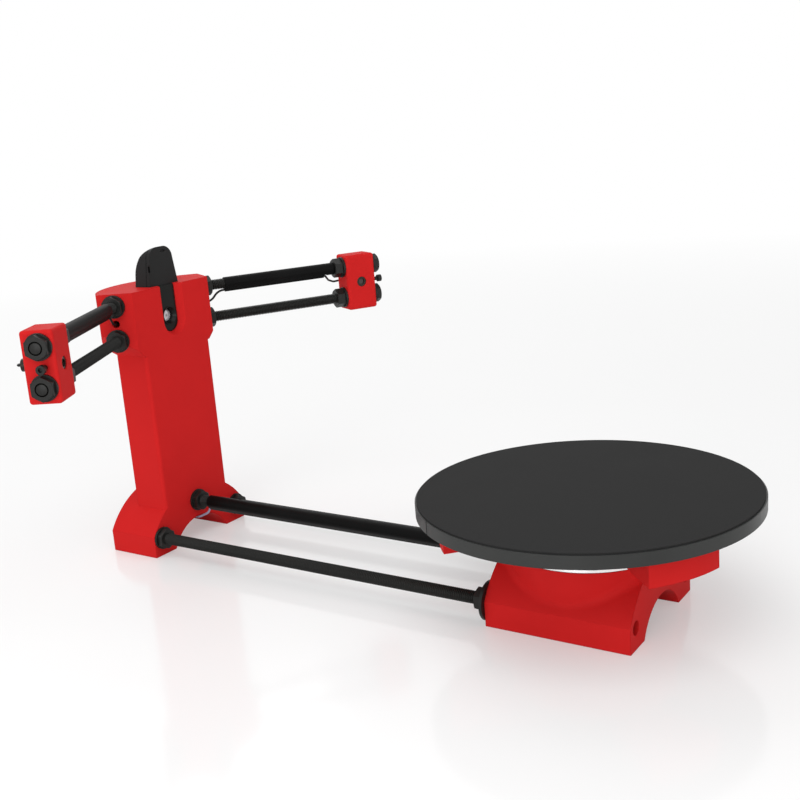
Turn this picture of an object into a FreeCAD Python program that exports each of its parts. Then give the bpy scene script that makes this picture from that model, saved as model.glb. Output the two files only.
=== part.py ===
# Desktop 3D scanner: a tower with a camera and two side lasers, joined by threaded rods to a turntable.
# Millimetres. +X runs from the tower to the turntable, +Z is up, the floor is Z = 0.
import os
from math import cos, pi, radians, sin, sqrt, tan

import FreeCAD, Part

V = FreeCAD.Vector
X = V(1, 0, 0)
Y = V(0, 1, 0)
Z = V(0, 0, 1)

# Overall layout
axle_spacing = 335.8        # tower centre to turntable axis
tower_depth = 43.0          # foot of the tower along X
base_back = 45.5            # turntable base behind its axis
base_ahead = 44.0           # and in front of it

# Arch foot, the same section under the tower and the base
foot_half = 47.3            # outer half width
arch_half = 27.3            # half width of the tunnel at the floor
arch_rise = 16.9            # height of the tunnel
crown = 24.9                # thickness of the arch at its top

# Threaded rods, nuts and washers
rod_r = 4.0
hole_fit = 0.2              # radial play of a rod in its hole
thread_fit = 0.05           # radial play of a nut on its rod
nut_flat = 13.0
nut_h = 6.5
thin_nut_h = 4.0
washer_r = 8.0
washer_t = 1.6
big_washer_r = 12.0
big_washer_t = 2.0
washer_fit = 0.2
nut_pocket = 9.0            # depth of the hexagonal pockets in the tower's rear face
hex_play = 0.3
rod_inset = 1.5             # rod ends inside that face
side_rod_y = 39.1
side_rod_z = 12.8
centre_rod_z = 29.0
rod_short = 15.0            # side rods stop this far inside the front face of the base
rod_clear = 3.0             # end of the centre rod to the motor pocket

# Column and head of the tower
column_depth = 28.7
head_z = 144.3              # where the head starts to spread
head_top = 190.0
head_front_half = 37.5
head_side = 25.0            # length of a slanted side face
head_back = 26.0            # from the tower centre back to the round rear of the head
arm_angle = 30.0            # sweep of the arms away from the Y axis
arm_set = 13.7              # arm axis from the front corner, along the side face
upper_z = 181.4
lower_z = 157.5
rod_in_head = 22.0
column_edge = 2.5           # rounded front edges of the column
column_wall = 3.5           # side walls of the column's hollow rear
column_front_wall = 4.0
cavity_z0 = 50.0
cavity_top = 140.0
duct_r = 3.0
wire_hole_r = 2.6
duct_bend = 6.0             # wire's bend from the duct into the side hole
lead_shaft_r = 2.2          # motor lead's way up through the foot
lead_shaft_y = 7.0
wire_depth = 27.0           # length of the wire hole to the vertical duct
cam_lead_r = 3.0            # passage from the camera pocket down to the controller
wire_z = 169.2

# Laser blocks
block_near = 114.2          # inner face from the head, along the arm
block_depth = 24.2
block_back = 10.9           # behind the rods
block_front = 8.8           # ahead of the rods
block_z0 = 147.6
block_top = 190.9
block_edge = 2.0
arm_proud = 0.2             # rod end beyond the outer nut
barrel_r = 3.85
barrel_fit = 0.05           # running play of the laser barrel in its bore
barrel_back = 5.2           # barrel beyond the rear face
barrel_in = 0.6             # barrel end behind the front face
lens_r = 2.4
lens_t = 1.0
clamp_r = 1.5
clamp_head_r = 2.75
clamp_head_h = 3.0
clamp_w = 1.8               # clamp screw ahead of the rods
clamp_shank = 4.7           # bare shank under its head
clamp_gap = 0.1
wire_r = 0.8
wire_gap = 0.1              # wire's end to the barrel or the terminal
wire_back = 3.4             # straight run of the wire behind the barrel

# Sleeves over a rod and the wire under it
sleeve_start = 16.6
sleeve_end = 97.6
long_sleeve_gap = 13.1      # from the tower's front face to the sleeve of the centre rod
long_sleeve_stop = 9.3      # and from its other end to the base
sleeve_wall = 0.6
sleeve_play = 0.05
sleeve_tail = 0.4           # from the end of an arm's sleeve to the nut
sleeve_notch = 3.0          # slit under its end, where the wire comes out
wire_drop = 4.85            # wire axis under the rod axis

# Turntable
platter_r = 100.0
platter_t = 7.5
mat_r = 99.0
mat_t = 1.0
platter_z = 66.4            # underside of the platter
mark_angle = -127.0         # index groove in the platter's rim
mark_w = 1.2
mark_deep = 0.8
arm_count = 3
arm_reach = 87.3
arm_span = 31.0             # angle of one carrier arm
arm_first = -30.0
arm_z = 48.0                # underside of the carrier arms
hub_r = 20.0
spigot_z = 36.0
spigot_fit = 0.1
ledge_r = 35.5

# Large bearing
bearing_bore_r = 32.5
bearing_r = 45.0
bearing_h = 13.0
bearing_z = 34.3
ball_r = 4.0
ball_count = 17
race_fit = 0.08
shoulder = 1.45             # depth of a race
cage_half = 1.45            # half thickness of the cage wall
cage_h = 9.0
pocket_fit = 0.2

# Bowl of the base
bowl_rim = 4.4              # wall of the bowl at its rim
bowl_foot_r = 43.5
bowl_foot_z = 20.0
bowl_top = 43.0
bowl_blend = 6.0            # radius where the bowl runs into the foot
seat_fit = 0.05

# Stepper motor
motor_side = 42.3
motor_corner = 4.5
motor_h = 26.0
cap_h = 7.0
plate_t = 5.0               # floor of the bowl, which carries the motor
pocket_play = 0.4
pilot_r = 11.0
pilot_h = 2.0
shaft_r = 2.5
shaft_out = 24.0
shaft_fit = 0.05
rotor_r = 12.8
rotor_gap = 0.4
rotor_end = 1.0
screw_pitch = 31.0
screw_r = 1.5
screw_head_r = 2.75
screw_head_h = 3.0
screw_fit = 0.2
screw_in_cap = 4.5
socket_w = 14.0             # plug socket on the motor's side
socket_d = 6.0
socket_z = 4.3
socket_h = 5.8
grub_z = 51.5
grub_len = 8.0

# Webcam
cam_half = 14.0
cam_z0 = 151.0
cam_top = 217.0
cam_back = 1.0              # X of the rear of the shell, from the tower centre
cam_split = 12.0            # X where shell and bezel meet
cam_face = 15.0             # X of the bezel's front
cam_wall = 1.8
cam_play = 0.3
cam_straight = cam_top - 27.0   # sides of the shell lean in above this
cam_head_half = 11.3        # half width under its top corners
cam_corner = 8.5
cam_brow = cam_top - 18.0   # its back curves forward above this
strip_half = 7.3
strip_z0 = 156.5
strip_top = 189.6
strip_t = 1.6
slot_half = 7.6
slot_mouth = 10.8           # half width of the slot at the tower's front face
slot_lip = 4.7              # depth of its slanted sides
slot_rise = 1.2             # the mouth's round end sits this much higher
lens_z = 167.6
cam_lens_r = 4.4
cam_ring_r = 5.6
cam_ring_t = 0.6
barrel_len = 5.4
slit_y = -12.0
slit_drop = 14.8            # under the top of the shell
slit_w = 1.2
slit_h = 4.4
slit_deep = 0.8
mic_y = 2.5
mic_drop = 3.4
mic_w = 4.4
mic_h = 1.5
cam_board_t = 1.2
cam_board_play = 1.6

# Controller in the hollow rear of the column
board_w = 53.4
board_play = 2.1            # to the walls at its sides
board_h = 68.6
board_t = 1.6
board_z = 58.0
standoff_h = 5.0
standoff_r = 2.8
hole_inset = 4.0
board_screw_r = 1.5
board_screw_head_r = 2.7
board_screw_head_h = 1.8
board_screw_bite = 3.0      # thread in the column's front wall
header_h = 8.5
header_w = 2.5
header_len = 48.0
header_drop = 4.0           # header strips end below the board's top edge
shield_h = 53.0
driver_w = 15.2
driver_h = 20.3
driver_t = 1.6
driver_lift = 6.0
driver_gap = 0.75           # between the drivers and the lower terminal
sink_side = 9.0
sink_h = 5.0
sink_base = 1.5
sink_fins = 4
sink_fin_t = 1.0
term_w = 10.0
term_h = 8.0
term_d = 7.0
term_y = 14.0
usb_w = 12.0
usb_h = 16.2
usb_d = 8.2
jack_w = 9.0
jack_h = 13.5
jack_d = 8.0
socket_drop = 4.0           # sockets reach below the board's edge
lead_play = 1.0             # shaft under each socket, wider than the socket
jack_hole_r = 3.1
jack_pin_r = 1.0
usb_wall = 1.0
button_base = 6.0
button_base_t = 3.5
button_r = 1.7
button_out = 1.5
button_fit = 0.1
cap_r = 4.0
cap_len = 7.5

# Worked out from the sizes above
tower_x = (head_back - axle_spacing - platter_r) / 2
axle_x = tower_x + axle_spacing
tower_front = tower_x + tower_depth / 2
tower_rear = tower_x - tower_depth / 2
base_rear = axle_x - base_back
base_front = axle_x + base_ahead
column_half = board_w / 2 + board_play + column_wall
column_rear = tower_front - column_depth
pcb_x = tower_front - column_front_wall - standoff_h
header_x = pcb_x - board_t
plate_x = header_x - header_h
back_x = plate_x - board_t
stick_x = back_x - driver_lift
arch_r = (arch_half ** 2 + arch_rise ** 2) / (2 * arch_rise)
arch_z = arch_rise - arch_r
outer_r = arch_r + crown
foot_side_z = arch_z + sqrt(outer_r ** 2 - foot_half ** 2)
rod_hole_r = rod_r + hole_fit
block_far = block_near + block_depth
block_mid = block_near + block_depth / 2
pitch_r = (bearing_bore_r + bearing_r) / 2
bearing_top = bearing_z + bearing_h
motor_top = bearing_z - plate_t
pocket_half = motor_side / 2 + pocket_play
cam_x = tower_x + cam_back
split_x = tower_x + cam_split
face_x = tower_x + cam_face
usb_y = board_w / 4
jack_y = -board_w / 4
shaft_top = motor_top + shaft_out
platter_top = platter_z + platter_t
arm_origin = V(tower_front - arm_set * cos(radians(arm_angle)), head_front_half + arm_set * sin(radians(arm_angle)), 0)
OUT = {}


def keep(name, *shapes):
    """Write the solids of one piece, or of one set of equal pieces, as a node."""
    solids = []
    for shape in shapes:
        solids += shape.Solids
    OUT[name] = solids
    body = solids[0] if len(solids) == 1 else Part.makeCompound(solids)
    body.exportStep("parts/" + name + ".step")


def box(x0, x1, y0, y1, z0, z1):
    return Part.makeBox(x1 - x0, y1 - y0, z1 - z0, V(x0, y0, z0))


def cyl(r, start, axis, length):
    return Part.makeCylinder(r, length, start, axis)


def ring(r_out, r_in, start, axis, length):
    return cyl(r_out, start, axis, length).cut(cyl(r_in, start, axis, length))


def prism(points, axis):
    """Straight-sided solid from corner points, pushed along axis."""
    return Part.Face(Part.makePolygon(points + points[:1])).extrude(axis)


def outline(edges, axis):
    return Part.Face(Part.Wire(edges)).extrude(axis)


def line(a, b):
    return Part.LineSegment(a, b).toShape()


def arc(a, b, c):
    return Part.Arc(a, b, c).toShape()


def slot_line(x, half, z):
    """Outline of the webcam's slot at x: round below, open at the top."""
    top = head_top + 1
    return Part.Wire([line(V(x, -half, top), V(x, -half, z)), arc(V(x, -half, z), V(x, 0, z - half), V(x, half, z)),
                      line(V(x, half, z), V(x, half, top)), line(V(x, half, top), V(x, -half, top))])


def nut(start, axis, h=nut_h):
    """Hex nut with turned corners, its seat at start."""
    flat = prism([V(nut_flat / sqrt(3) * cos(radians(60 * i)), nut_flat / sqrt(3) * sin(radians(60 * i)), 0)
                  for i in range(6)], V(0, 0, h))
    corner = nut_flat / sqrt(3)
    bevel = corner - nut_flat / 2
    turned = cyl(corner, V(0, 0, 0), Z, h - bevel / 2)
    turned = turned.fuse(Part.makeCone(corner, corner - bevel, bevel / 2, V(0, 0, h - bevel / 2), Z))
    shape = flat.common(turned).cut(cyl(rod_r + thread_fit, V(0, 0, 0), Z, h))
    shape.Placement = FreeCAD.Placement(start, FreeCAD.Rotation(Z, axis))
    return shape


def washer(start, axis, r=washer_r, t=washer_t):
    return ring(r, rod_r + washer_fit, start, axis, t)


def capsule(half, z0, z1, x0, depth):
    """Upright plate with round ends, its back at x0."""
    top = z1 - half
    low = z0 + half
    edges = [line(V(x0, -half, low), V(x0, -half, top)), arc(V(x0, -half, top), V(x0, 0, z1), V(x0, half, top)),
             line(V(x0, half, top), V(x0, half, low)), arc(V(x0, half, low), V(x0, 0, z0), V(x0, -half, low))]
    return outline(edges, V(depth, 0, 0))


def camera_body(x0, depth, inset):
    """Upright body of the camera, round below and narrower at its top, its outline drawn in by inset."""
    half = cam_half - inset
    top_half = cam_head_half - inset
    corner = cam_corner - inset
    low = cam_z0 + cam_half
    top = cam_top - inset
    near = (1 - sqrt(0.5)) * corner
    edges = [arc(V(x0, half, low), V(x0, 0, low - half), V(x0, -half, low)),
             line(V(x0, -half, low), V(x0, -half, cam_straight)),
             line(V(x0, -half, cam_straight), V(x0, -top_half, top - corner)),
             arc(V(x0, -top_half, top - corner), V(x0, near - top_half, top - near), V(x0, corner - top_half, top)),
             line(V(x0, corner - top_half, top), V(x0, top_half - corner, top)),
             arc(V(x0, top_half - corner, top), V(x0, top_half - near, top - near), V(x0, top_half, top - corner)),
             line(V(x0, top_half, top - corner), V(x0, half, cam_straight)),
             line(V(x0, half, cam_straight), V(x0, half, low))]
    body = outline(edges, V(depth, 0, 0))
    back = V(cam_x + inset, -2 * cam_half, cam_brow)
    front = V(face_x, -2 * cam_half, cam_top - inset)
    middle = V(back.x + 0.32 * (front.x - back.x), back.y, back.z + 0.64 * (front.z - back.z))
    above = V(0, 0, cam_half)
    behind = V(-cam_half, 0, 0)
    brow = outline([arc(back, middle, front), line(front, front + above), line(front + above, front + above + behind * 3),
                    line(front + above + behind * 3, V(front.x, back.y, back.z) + behind * 3),
                    line(V(front.x, back.y, back.z) + behind * 3, back)], V(0, 4 * cam_half, 0))
    return body.cut(brow)


def hull(start, axis, length, extra):
    """Section around a rod and the wire below it, grown by extra and pushed along axis."""
    big = rod_r + extra
    small = wire_r + extra
    lean = (big - small) / wire_drop
    flat = sqrt(1 - lean ** 2)
    drop = start - V(0, 0, wire_drop)
    side_way = axis.cross(Z)
    a = [side_way * big * flat * k - V(0, 0, big * lean) for k in (1, -1)]
    b = [side_way * small * flat * k - V(0, 0, small * lean) for k in (1, -1)]
    edges = [arc(start + a[0], start + V(0, 0, big), start + a[1]), line(start + a[1], drop + b[1]),
             arc(drop + b[1], drop - V(0, 0, small), drop + b[0]), line(drop + b[0], start + a[0])]
    return outline(edges, axis * length)


def sleeve(start, length):
    return hull(start, X, length, sleeve_play + sleeve_wall).cut(hull(start, X, length, sleeve_play))


def arch_foot(x0, length):
    """Arch section of the feet, pushed along X from x0."""
    side = foot_half
    mid = arch_z + outer_r
    edges = [line(V(x0, arch_half, 0), V(x0, side, 0)), line(V(x0, side, 0), V(x0, side, foot_side_z)),
             arc(V(x0, side, foot_side_z), V(x0, 0, mid), V(x0, -side, foot_side_z)),
             line(V(x0, -side, foot_side_z), V(x0, -side, 0)), line(V(x0, -side, 0), V(x0, -arch_half, 0)),
             arc(V(x0, -arch_half, 0), V(x0, 0, arch_rise), V(x0, arch_half, 0))]
    return outline(edges, V(length, 0, 0))


def on_arm(shape, side):
    """Turn a shape built along +X onto an arm. side is 1 for the left arm and -1 for the right."""
    moved = shape.copy()
    moved.rotate(V(0, 0, 0), Z, side * (90 - arm_angle))
    moved.translate(V(arm_origin.x, side * arm_origin.y, 0))
    return moved


def arm_point(side, out, ahead, z):
    """Point on an arm: out along its rods, ahead towards the turntable, at height z."""
    turn = radians(arm_angle)
    return V(arm_origin.x + out * sin(turn) + ahead * cos(turn),
             side * (arm_origin.y + out * cos(turn) - ahead * sin(turn)), z)


def around(shape, centre_x, angle):
    moved = shape.copy()
    moved.rotate(V(centre_x, 0, 0), Z, angle)
    return moved


def tube(points, r, name, limits):
    """Round lead along straight runs joined by tangent arcs, no larger than limits gives at a point."""
    edges = []
    start = points[0]
    for i in range(1, len(points) - 1):
        back = (points[i - 1] - points[i]).normalize()
        ahead = (points[i + 1] - points[i]).normalize()
        turn = pi - back.getAngle(ahead)
        shorter = min((points[i] - points[i - 1]).Length, (points[i + 1] - points[i]).Length)
        bend = min(0.45 * shorter / tan(turn / 2), limits.get(i, shorter))
        trim = bend * tan(turn / 2)
        enter = points[i] + back * trim
        leave = points[i] + ahead * trim
        centre = points[i] + (back + ahead).normalize() * (bend / cos(turn / 2))
        middle = centre + (points[i] - centre).normalize() * bend
        edges.append(line(start, enter))
        edges.append(arc(enter, middle, leave))
        start = leave
        print(name, "bend", i, "radius", round(bend, 1), "turn", round(turn * 180 / pi))
    edges.append(line(start, points[-1]))
    path = Part.Wire(edges)
    section = Part.Wire([Part.Circle(points[0], points[1] - points[0], r).toShape()])
    lead = path.makePipeShell([section], True, False)
    print(name, "length", round(path.Length, 1), "volume ratio", round(lead.Volume / (pi * r * r * path.Length), 4))
    return lead


os.makedirs("parts", exist_ok=True)

# Tower
turn = radians(arm_angle)
front_corner = V(tower_front, head_front_half, head_z)
rear_corner = front_corner + V(-head_side * cos(turn), head_side * sin(turn), 0)


def mirror_y(p):
    return V(p.x, -p.y, p.z)


back_point = V(tower_x - head_back, 0, head_z)
plan = [line(mirror_y(front_corner), front_corner), line(front_corner, rear_corner),
        arc(rear_corner, back_point, mirror_y(rear_corner)), line(mirror_y(rear_corner), mirror_y(front_corner))]
head = outline(plan, V(0, 0, head_top - head_z))
spread = head_top - head_z
side_cut = [V(0, column_half, head_z), V(0, column_half + spread, head_top), V(0, -column_half - spread, head_top),
            V(0, -column_half, head_z)]
side_cut = [p + V(column_rear - spread, 0, 0) for p in side_cut]
rear_cut = [V(column_rear, -100, head_z), V(column_rear - spread, -100, head_top), V(tower_front, -100, head_top),
            V(tower_front, -100, head_z)]
head = head.common(prism(side_cut, V(2 * spread + column_depth, 0, 0))).common(prism(rear_cut, V(0, 200, 0)))
column = box(column_rear, tower_front, -column_half, column_half, arch_z + outer_r - crown / 2, head_z)
column = column.makeFillet(column_edge, [e for e in column.Edges if abs(e.CenterOfMass.x - tower_front) < 0.01
                                         and abs(e.Vertexes[0].Z - e.Vertexes[1].Z) > 1])
tower = arch_foot(tower_rear, tower_depth).fuse(column).fuse(head).removeSplitter()
cuts = [cyl(rod_hole_r, V(tower_rear - 1, y, z), X, tower_depth + 2)
        for y, z in ((side_rod_y, side_rod_z), (-side_rod_y, side_rod_z), (0, centre_rod_z))]
pocket_z = cam_z0 - cam_play
cuts.append(box(tower_x + cam_back - cam_play, tower_x + cam_face + cam_play, -cam_half - cam_play,
                cam_half + cam_play, pocket_z, head_top + 1))
slot_z = strip_z0 - (slot_half - strip_half) + slot_half
cuts.append(box(tower_x + cam_face, tower_front, -slot_half, slot_half, slot_z, head_top + 1))
cuts.append(cyl(slot_half, V(tower_x + cam_face, 0, slot_z), X, tower_front - tower_x - cam_face))
cuts.append(Part.makeLoft([slot_line(tower_front - slot_lip, slot_half, slot_z),
                           slot_line(tower_front, slot_mouth, slot_z + slot_rise)], True, True))
for y, z in ((side_rod_y, side_rod_z), (-side_rod_y, side_rod_z), (0, centre_rod_z)):
    corner = (nut_flat / 2 + hex_play) * 2 / sqrt(3)
    hexagon = [V(tower_rear - 1, y + corner * sin(radians(60 * i)), z + corner * cos(radians(60 * i))) for i in range(6)]
    cuts.append(prism(hexagon, V(nut_pocket + 1, 0, 0)))
cavity_half = column_half - column_wall
cuts.append(box(column_rear - 1, tower_front - column_front_wall, -cavity_half, cavity_half, cavity_z0, cavity_top))
cuts.append(cyl(cam_lead_r, V((cam_x + split_x) / 2, 0, cavity_top - 1), Z, pocket_z - cavity_top + 2))
for y, w, d in ((usb_y, usb_w, usb_d), (jack_y, jack_w, jack_d)):
    cuts.append(box(header_x - d - lead_play, header_x + lead_play, y - w / 2 - lead_play, y + w / 2 + lead_play,
                    0, cavity_z0 + 1))
term_x = back_x - term_d / 2
cuts.append(cyl(lead_shaft_r, V(term_x, lead_shaft_y, 0), Z, cavity_z0 + 1))
for side in (1, -1):
    for z in (upper_z, lower_z):
        cuts.append(on_arm(cyl(rod_hole_r, V(-rod_in_head, 0, z), X, rod_in_head + 20), side))
    cuts.append(on_arm(cyl(wire_hole_r, V(-wire_depth, 0, wire_z), X, wire_depth + 20), side))
    duct = arm_point(side, -wire_depth, 0, cavity_top - 1)
    cuts.append(cyl(duct_r, duct, Z, wire_z + wire_hole_r - cavity_top + 1))
    for z in (board_z + hole_inset, board_z + board_h - hole_inset):
        y = side * (board_w / 2 - hole_inset)
        cuts.append(cyl(board_screw_r, V(pcb_x + standoff_h, y, z), X, board_screw_bite + 0.2))
for cut in cuts:
    tower = tower.cut(cut)
keep("tower", tower)

# Turntable base
bowl_r = bearing_r + bowl_rim
base = arch_foot(base_rear, base_front - base_rear)
base = base.fuse(Part.makeCone(bowl_foot_r, bowl_r, bowl_top - bowl_foot_z, V(axle_x, 0, bowl_foot_z), Z)).removeSplitter()
joins = [e for e in base.Edges if e.CenterOfMass.z < bowl_top - 1
         and [type(f.Surface) for f in base.ancestorsOfType(e, Part.Face)].count(Part.Cone) == 1]
base = base.makeFillet(bowl_blend, joins)
base = base.cut(cyl(bearing_r + seat_fit, V(axle_x, 0, bearing_z), Z, 20))
base = base.cut(box(axle_x - pocket_half, axle_x + pocket_half, -pocket_half, pocket_half, -1, motor_top))
base = base.cut(cyl(pilot_r + screw_fit, V(axle_x, 0, motor_top - 1), Z, plate_t + 2))
motor_holes = [V(axle_x + i * screw_pitch / 2, j * screw_pitch / 2, 0) for i in (-1, 1) for j in (-1, 1)]
for p in motor_holes:
    base = base.cut(cyl(screw_r + screw_fit, p + V(0, 0, motor_top - 1), Z, plate_t + 2))
    base = base.cut(cyl(screw_head_r + screw_fit, p + V(0, 0, bearing_z - screw_head_h - screw_fit), Z, 10))
for y in (side_rod_y, -side_rod_y):
    base = base.cut(cyl(rod_hole_r, V(base_rear - 1, y, side_rod_z), X, base_front - base_rear + 2))
centre_rod_end = axle_x - pocket_half - rod_clear
base = base.cut(cyl(rod_hole_r, V(base_rear - bowl_blend, 0, centre_rod_z), X, centre_rod_end + 0.5 - base_rear + bowl_blend))
keep("turntable_base", base)

# Rods between tower and base
rod_start = tower_rear + rod_inset
keep("side_rods", *[cyl(rod_r, V(rod_start, y, side_rod_z), X, base_front - rod_short - rod_start)
                    for y in (side_rod_y, -side_rod_y)])
keep("centre_rod", cyl(rod_r, V(rod_start, 0, centre_rod_z), X, centre_rod_end - rod_start))

# Nuts and washers on those rods: in front of the tower, in the pockets of its rear face and behind the base
places = [(side_rod_y, side_rod_z), (-side_rod_y, side_rod_z), (0, centre_rod_z)]
thin_nuts = [nut(V(tower_front + washer_t, y, z), X, thin_nut_h) for y, z in places]
nuts = [nut(V(tower_rear + nut_pocket, y, z), -X) for y, z in places]
nuts += [nut(V(base_rear - big_washer_t, y, z), -X) for y, z in places[:2]]
washers = [washer(V(tower_front, y, z), X) for y, z in places]
keep("large_washers", *[washer(V(base_rear, y, z), -X, big_washer_r, big_washer_t) for y, z in places[:2]])

# Sleeve of the centre rod, over the motor's lead
long_start = tower_front + long_sleeve_gap
keep("centre_sleeve", sleeve(V(long_start, 0, centre_rod_z), base_rear - long_sleeve_stop - long_start))

# Arms
for side, label in ((1, "left"), (-1, "right")):
    arm_len = block_far + washer_t + thin_nut_h + arm_proud
    keep(label + "_arm_rods", *[on_arm(cyl(rod_r, V(-rod_in_head, 0, z), X, rod_in_head + arm_len), side)
                                for z in (upper_z, lower_z)])
    for z in (upper_z, lower_z):
        for out, way in ((0, X), (block_near, -X), (block_far, X)):
            seat = V(out, 0, z)
            washers.append(on_arm(washer(seat, way), side))
            if out == block_near:
                nuts.append(on_arm(nut(seat + way * washer_t, way), side))
            else:
                thin_nuts.append(on_arm(nut(seat + way * washer_t, way, thin_nut_h), side))

    ahead = -side           # on this arm, local +Y times this points to the turntable
    y0, y1 = sorted((-ahead * block_back, ahead * block_front))
    block = box(block_near, block_far, y0, y1, block_z0, block_top)
    block = block.makeFillet(block_edge, block.Edges)
    for z in (upper_z, lower_z):
        block = block.cut(cyl(rod_hole_r, V(block_near - 1, 0, z), X, block_depth + 2))
    bore_z = wire_z
    block = block.cut(cyl(barrel_r + barrel_fit, V(block_mid, y0 - 1, bore_z), Y, y1 - y0 + 2))
    clamp_y = ahead * clamp_w
    block = block.cut(cyl(clamp_r + thread_fit, V(block_mid, clamp_y, bore_z), X, block_depth))
    keep(label + "_laser_block", on_arm(block, side))

    back = -ahead * (block_back + barrel_back)
    front = ahead * (block_front - barrel_in)
    way = V(0, ahead, 0)
    barrel = cyl(barrel_r, V(block_mid, back, bore_z), way, abs(front - back))
    barrel = barrel.cut(cyl(lens_r, V(block_mid, front, bore_z) - way * 2 * lens_t, way, 3 * lens_t))
    keep(label + "_laser_barrel", on_arm(barrel, side))
    keep(label + "_laser_lens", on_arm(cyl(lens_r, V(block_mid, front, bore_z) - way * 2 * lens_t, way, lens_t), side))

    tail = ring(rod_r + sleeve_play + sleeve_wall, rod_r + sleeve_play, V(sleeve_end, 0, upper_z), X,
                block_near - washer_t - nut_h - sleeve_tail - sleeve_end)
    tail = tail.cut(box(sleeve_end, sleeve_end + sleeve_notch, -0.65 * rod_r, 0.65 * rod_r, lower_z, upper_z - 0.6 * rod_r))
    cover = sleeve(V(sleeve_start, 0, upper_z), sleeve_end - sleeve_start).fuse(tail).removeSplitter()
    keep(label + "_sleeve", on_arm(cover, side))

    low = upper_z - wire_drop
    duct = arm_point(side, -wire_depth, 0, 0)
    term_top = board_z + board_h
    wire_end = -block_back - barrel_back - wire_gap
    route = [V(term_x, side * term_y, term_top + wire_gap), V(term_x, side * term_y, term_top + 4.4),
             V(duct.x, duct.y, cavity_top - 2), V(duct.x, duct.y, wire_z), arm_point(side, 5, 0, wire_z),
             arm_point(side, 11.3, 0, low), arm_point(side, sleeve_end + 1.5, 0, low),
             arm_point(side, 104.4, -7, 171.9), arm_point(side, 111.1, -13, wire_z),
             arm_point(side, block_mid, wire_end - wire_back, wire_z), arm_point(side, block_mid, wire_end, wire_z)]
    keep(label + "_laser_wire", tube(route, wire_r, label + " wire", {3: duct_bend, 6: 2.5}))
keep("nuts", *nuts)
keep("thin_nuts", *thin_nuts)
keep("washers", *washers)

screws = []
for side in (1, -1):
    ahead = -side
    tip = block_mid + barrel_r + clamp_gap
    y = ahead * clamp_w
    head_x = block_far + clamp_shank
    screw = cyl(clamp_r, V(tip, y, wire_z), X, head_x - tip)
    screw = screw.fuse(cyl(clamp_head_r, V(head_x, y, wire_z), X, clamp_head_h))
    screw = screw.cut(prism([V(head_x + 1.2, y + 1.45 * cos(radians(60 * i)), wire_z + 1.45 * sin(radians(60 * i)))
                             for i in range(6)], V(3, 0, 0)))
    screws.append(on_arm(screw, side))
keep("clamp_screws", *screws)

# Platter and mat
groove = box(axle_x + platter_r - mark_deep, axle_x + platter_r + 1, -mark_w / 2, mark_w / 2, platter_z - 1, platter_top + 1)
platter = cyl(platter_r, V(axle_x, 0, platter_z), Z, platter_t).cut(around(groove, axle_x, mark_angle))
keep("platter", platter)
keep("grip_mat", cyl(mat_r, V(axle_x, 0, platter_top), Z, mat_t))

# Carrier under the platter
spigot_r = bearing_bore_r - spigot_fit
carrier = cyl(spigot_r, V(axle_x, 0, spigot_z), Z, arm_z - spigot_z)
carrier = carrier.fuse(cyl(ledge_r, V(axle_x, 0, bearing_top), Z, arm_z - bearing_top + 2))
carrier = carrier.fuse(cyl(hub_r, V(axle_x, 0, arm_z), Z, platter_z - arm_z))
half = radians(arm_span / 2)
for i in range(arm_count):
    corner = V(axle_x + arm_reach * cos(half), arm_reach * sin(half), arm_z)
    centre = V(axle_x, 0, arm_z)
    edges = [line(centre, mirror_y(corner)), arc(mirror_y(corner), V(axle_x + arm_reach, 0, arm_z), corner),
             line(corner, centre)]
    sector = outline(edges, V(0, 0, platter_z - arm_z))
    carrier = carrier.fuse(around(sector, axle_x, arm_first + i * 360 / arm_count))
carrier = carrier.removeSplitter()
carrier = carrier.cut(cyl(shaft_r + shaft_fit, V(axle_x, 0, spigot_z - 1), Z, shaft_top + 1 - spigot_z + 1))
carrier = carrier.cut(cyl(screw_r + thread_fit, V(axle_x, 0, grub_z), -Y, hub_r * 2))
keep("carrier", carrier)
keep("grub_screw", cyl(screw_r, V(axle_x, -shaft_r - clamp_gap, grub_z), -Y, grub_len))

# Large bearing
mid_z = bearing_z + bearing_h / 2
groove = Part.makeTorus(pitch_r, ball_r + race_fit, V(axle_x, 0, mid_z), Z)
inner_r = pitch_r - ball_r + shoulder
outer_in_r = pitch_r + ball_r - shoulder
keep("bearing_outer_ring", ring(bearing_r, outer_in_r, V(axle_x, 0, bearing_z), Z, bearing_h).cut(groove))
keep("bearing_inner_ring", ring(inner_r, bearing_bore_r, V(axle_x, 0, bearing_z), Z, bearing_h).cut(groove))
balls = [around(Part.makeSphere(ball_r, V(axle_x + pitch_r, 0, mid_z)), axle_x, i * 360 / ball_count)
         for i in range(ball_count)]
keep("bearing_balls", *balls)
cage = ring(pitch_r + cage_half, pitch_r - cage_half, V(axle_x, 0, mid_z - cage_h / 2), Z, cage_h)
for i in range(ball_count):
    pocket = cyl(ball_r + pocket_fit, V(axle_x + pitch_r - 5, 0, mid_z), X, 10)
    cage = cage.cut(around(pocket, axle_x, i * 360 / ball_count))
keep("bearing_cage", cage)

# Stepper motor, hung under the floor of the bowl
half_side = motor_side / 2
cut = half_side - motor_corner
square = [V(half_side, -cut, 0), V(half_side, cut, 0), V(cut, half_side, 0), V(-cut, half_side, 0),
          V(-half_side, cut, 0), V(-half_side, -cut, 0), V(-cut, -half_side, 0), V(cut, -half_side, 0)]


def motor_slice(z0, z1):
    return prism([p + V(axle_x, 0, z0) for p in square], V(0, 0, z1 - z0))


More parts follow.
